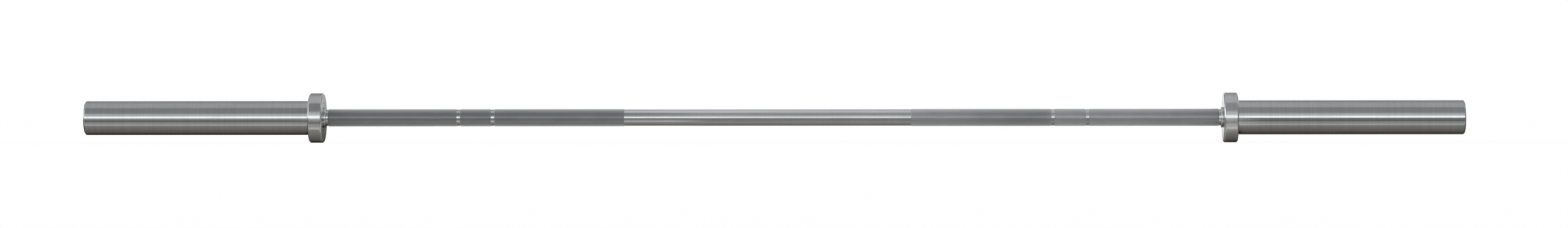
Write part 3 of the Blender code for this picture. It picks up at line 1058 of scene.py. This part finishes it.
def panel_light(angle, along, panels):
    """The light at elevations in degrees and lengths along the bar, as red, green and blue.

    Each panel adds its brightness times a smooth step up at its first edge and down at its second,
    and the same at its two ends along the bar.
    """

    def step(value, edge, softness):
        share = np.clip((value - edge) / softness + 0.5, 0.0, 1.0)
        return share * share * (3 - 2 * share)

    light = np.zeros((*np.broadcast_shapes(np.shape(angle), np.shape(along)), 3))
    for _, first, last, first_soft, last_soft, brightness, warmth, start, end in panels:
        amount = brightness * step(angle, first, first_soft) * (1 - step(angle, last, last_soft))
        amount = amount * step(along, start, PANEL_FADE) * (1 - step(along, end, PANEL_FADE))
        light = light + amount[..., None] * (1 + warmth / 3, 1.0, 1 - warmth)
    return light


class BARBELL_OT_stage(bpy.types.Operator):
    """Set the pale floor, the studio's cards, the white surroundings and the camera"""

    bl_idname = "barbell.stage"
    bl_label = "Stage"

    def execute(self, context):
        settings = context.scene.barbell_stage
        self.floor(settings)
        self.cards(settings)
        self.world(context.scene)
        self.camera(context.scene, settings)
        context.scene.view_settings.view_transform = "Standard"
        return {"FINISHED"}

    def floor(self, settings):
        """A flat sheet of pale paper that runs out to where the white surroundings begin.

        Where it is seen directly it is mostly plain white, and the rest shows the bar's shadow.
        """
        line = np.array(PAPER_LINES)
        low = np.array([[reach("right_collar", 0, 2)]])
        paper = new_sheet("paper_floor", line[:, None], line[None, :], low)
        material = bpy.data.materials.new("pale_paper")
        material.use_nodes = True
        tree = material.node_tree
        shader = tree.nodes["Principled BSDF"]
        look = {"Base Color": (*settings.floor, 1.0), "Roughness": 0.9, "Specular IOR Level": 0.2}
        fill(shader, look)
        white = new_node(tree, "ShaderNodeEmission", {"Strength": 1.0})
        share = new_node(tree, "ShaderNodeMath", {1: PAPER_WHITE}, operation="MULTIPLY")
        mix = new_node(tree, "ShaderNodeMixShader")
        tree.links.new(seen_directly(tree), share.inputs[0])
        tree.links.new(share.outputs[0], mix.inputs["Fac"])
        tree.links.new(shader.outputs[0], mix.inputs[1])
        tree.links.new(white.outputs[0], mix.inputs[2])
        tree.links.new(mix.outputs[0], tree.nodes["Material Output"].inputs["Surface"])
        paper.data.materials.append(material)

    def cards(self, settings):
        """The studio's cards, which light only what mirrors them.

        The upper card is a half pipe about the bar's axis.
        The lower cards lie just over the floor, before and behind the bar. Their lines of equal
        light lie where a ray from the viewer's level arrives once the round steel above has turned
        it to that elevation: at -r cos(e / 2) - (h - r sin(e / 2)) / tan e, with r the steel's
        radius there and h the axis's height. The back card is darker close to the bar, where the
        lowest lines of the steel mirror it, as they would mirror the bar's own shadow.
        The side card and the end softbox stand beyond the two ends, where the inner chamfers
        mirror them. The two flags lie and stand behind the shaft, where the collars' inner faces
        mirror them.
        """
        x = np.concatenate([[-CARDS_END], np.linspace(-1.05, 1.05, 71), [CARDS_END]])[:, None]
        upper = np.linspace(-1.2, 181.2, 480)[None, :]
        turn = np.radians(upper)
        light = panel_light(np.where(upper > UPPER_FOLD, 180.0 - upper, upper), x, UPPER_PANELS)
        y, z = -UPPER_RADIUS * np.cos(turn), UPPER_RADIUS * np.sin(turn)
        self.card("upper_card", x, y, z, light, settings)

        places = np.array(LOWER_GRID)
        x = np.concatenate([-places[:0:-1], places])[:, None]
        away = np.abs(x)
        radius = np.interp(away, *np.transpose(STEEL_OVER))
        lower = np.concatenate([np.geomspace(0.7, 20.0, 60)[:-1], np.linspace(20.0, 172.0, 340)])
        turn = np.radians(lower)[None, :]
        height = -reach("right_collar", 0, 2) - CARDS_CLEAR
        y = -radius * np.cos(turn / 2) - (height - radius * np.sin(turn / 2)) / np.tan(turn)
        y = np.minimum(y, 0.0)
        z = np.full_like(y, -height)
        light = panel_light(lower, x, LOWER_PANELS)
        self.card("front_lower_card", x, y, z, light, settings)
        shade = np.where(away > SLEEVE_SHADE_FROM, SLEEVE_SHADE, SHAFT_SHADE)
        shade = shade + (1.0 - shade) * np.interp(-y, [SHADE_TO, SHADE_END], [0.0, 1.0])
        self.card("back_lower_card", x, -y, z, light * shade[:, :, None], settings)

        for name, (place, front, back, top, level) in END_CARDS.items():
            y, z = np.array([[front], [back]]), np.array([[-height, top]])
            self.card(name, np.array([[place]]), y, z, np.full((2, 2, 3), level), settings)
        y, z = np.array([FLAG_AWAY]), np.array([FLAG_UP]) - height + FLAGS_CLEAR
        for name, (start, end, levels) in FLAGS.items():
            light = np.array(levels)[None, :, None] * np.ones((2, 1, 3))
            self.card(name, np.array([[start], [end]]), y, z, light, settings)

    def card(self, name, x, y, z, light, settings):
        """One card with its light at each point of its grid, seen by mirroring steel alone."""
        card = new_sheet(name, x, y, z)
        colours = np.ones((len(card.data.vertices), 4))
        shape = (*np.broadcast_shapes(np.shape(x), np.shape(y), np.shape(z)), 3)
        colours[:, :3] = np.broadcast_to(light * settings.level, shape).reshape(-1, 3)
        layer = card.data.color_attributes.new("light", "FLOAT_COLOR", "POINT")
        layer.data.foreach_set("color", colours.ravel())
        material = bpy.data.materials.new(name + "_glow")
        material.use_nodes = True
        tree = material.node_tree
        tree.nodes.remove(tree.nodes["Principled BSDF"])
        glow = new_node(tree, "ShaderNodeEmission")
        source = new_node(tree, "ShaderNodeAttribute", attribute_name="light")
        tree.links.new(source.outputs["Color"], glow.inputs["Color"])
        tree.links.new(glow.outputs[0], tree.nodes["Material Output"].inputs["Surface"])
        material.cycles.emission_sampling = "NONE"
        card.data.materials.append(material)
        card.visible_camera = False
        card.visible_shadow = False
        card.visible_diffuse = False

    def world(self, scene):
        """White all round, which is also the plain level of light that everything stands in."""
        world = bpy.data.worlds.new("studio")
        scene.world = world
        world.use_nodes = True
        white = world.node_tree.nodes["Background"]
        fill(white, {"Color": (1.0, 1.0, 1.0, 1.0), "Strength": 1.0})

    def camera(self, scene, settings):
        """The camera stands level with the bar, right of its middle, and is turned back towards it."""
        lens = bpy.data.cameras.new("camera")
        lens.lens = settings.lens / MM
        lens.sensor_width = 36.0
        lens.clip_end = 100.0
        camera = bpy.data.objects.new("camera", lens)
        camera.location = (settings.aside, -settings.distance, settings.height)
        camera.rotation_euler = Euler((np.pi / 2, settings.roll, settings.turn))
        scene.collection.objects.link(camera)
        scene.camera = camera


def seen_directly(tree):
    """1 for rays from the camera, and for those mirrored by metal or passed through glass."""
    path = new_node(tree, "ShaderNodeLightPath")
    seen = path.outputs["Is Camera Ray"]
    for kind in ("Is Glossy Ray", "Is Transmission Ray"):
        either = new_node(tree, "ShaderNodeMath", operation="MAXIMUM")
        tree.links.new(seen, either.inputs[0])
        tree.links.new(path.outputs[kind], either.inputs[1])
        seen = either.outputs[0]
    return seen


def new_sheet(name, x, y, z):
    """An open sheet of the stage on a grid of points (x, y, z), which isn't part of the bar."""
    grid = np.stack(np.broadcast_arrays(x, y, z), axis=-1)
    rows, columns = grid.shape[:2]
    first = np.arange(rows - 1)[:, None] * columns + np.arange(columns - 1)
    quads = rows_of(first, first + columns, first + columns + 1, first + 1)
    mesh = bpy.data.meshes.new(name)
    mesh.from_pydata(grid.reshape(-1, 3), [], quads)
    mesh.shade_smooth()
    sheet = bpy.data.objects.new(name, mesh)
    bpy.context.scene.collection.objects.link(sheet)
    return sheet


# The panel and the run


BUILDERS = (
    BARBELL_OT_shaft,
    BARBELL_OT_grips,
    BARBELL_OT_sleeves,
    BARBELL_OT_collars,
    BARBELL_OT_bushes,
    BARBELL_OT_bearings,
    BARBELL_OT_end_caps,
    BARBELL_OT_cap_rings,
    BARBELL_OT_stage,
)


class BARBELL_PT_builder(bpy.types.Panel):
    """The sizes and colours of the barbell, with a button for each group of pieces"""

    bl_label = "Barbell"
    bl_idname = "BARBELL_PT_builder"
    bl_space_type = "VIEW_3D"
    bl_region_type = "UI"
    bl_category = "Barbell"

    def draw(self, context):
        for key in SETTINGS:
            box = self.layout.box()
            settings = getattr(context.scene, key)
            for name in settings.__annotations__:
                box.prop(settings, name)
        for builder in BUILDERS:
            self.layout.operator(builder.bl_idname)


SETTINGS = {
    "barbell_shaft": ShaftSizes,
    "barbell_sleeves": SleeveSizes,
    "barbell_finishes": Finishes,
    "barbell_stage": StageSettings,
}
CLASSES = (*SETTINGS.values(), *BUILDERS, BARBELL_PT_builder)


def register():
    for cls in CLASSES:
        bpy.utils.register_class(cls)
    for key, group in SETTINGS.items():
        setattr(bpy.types.Scene, key, PointerProperty(type=group))


def unregister():
    for key in SETTINGS:
        delattr(bpy.types.Scene, key)
    for cls in reversed(CLASSES):
        bpy.utils.unregister_class(cls)


def main():
    """Builds every piece in order."""
    register()
    for builder in BUILDERS:
        group, name = builder.bl_idname.split(".")
        getattr(getattr(bpy.ops, group), name)()


if __name__ == "__main__":
    main()
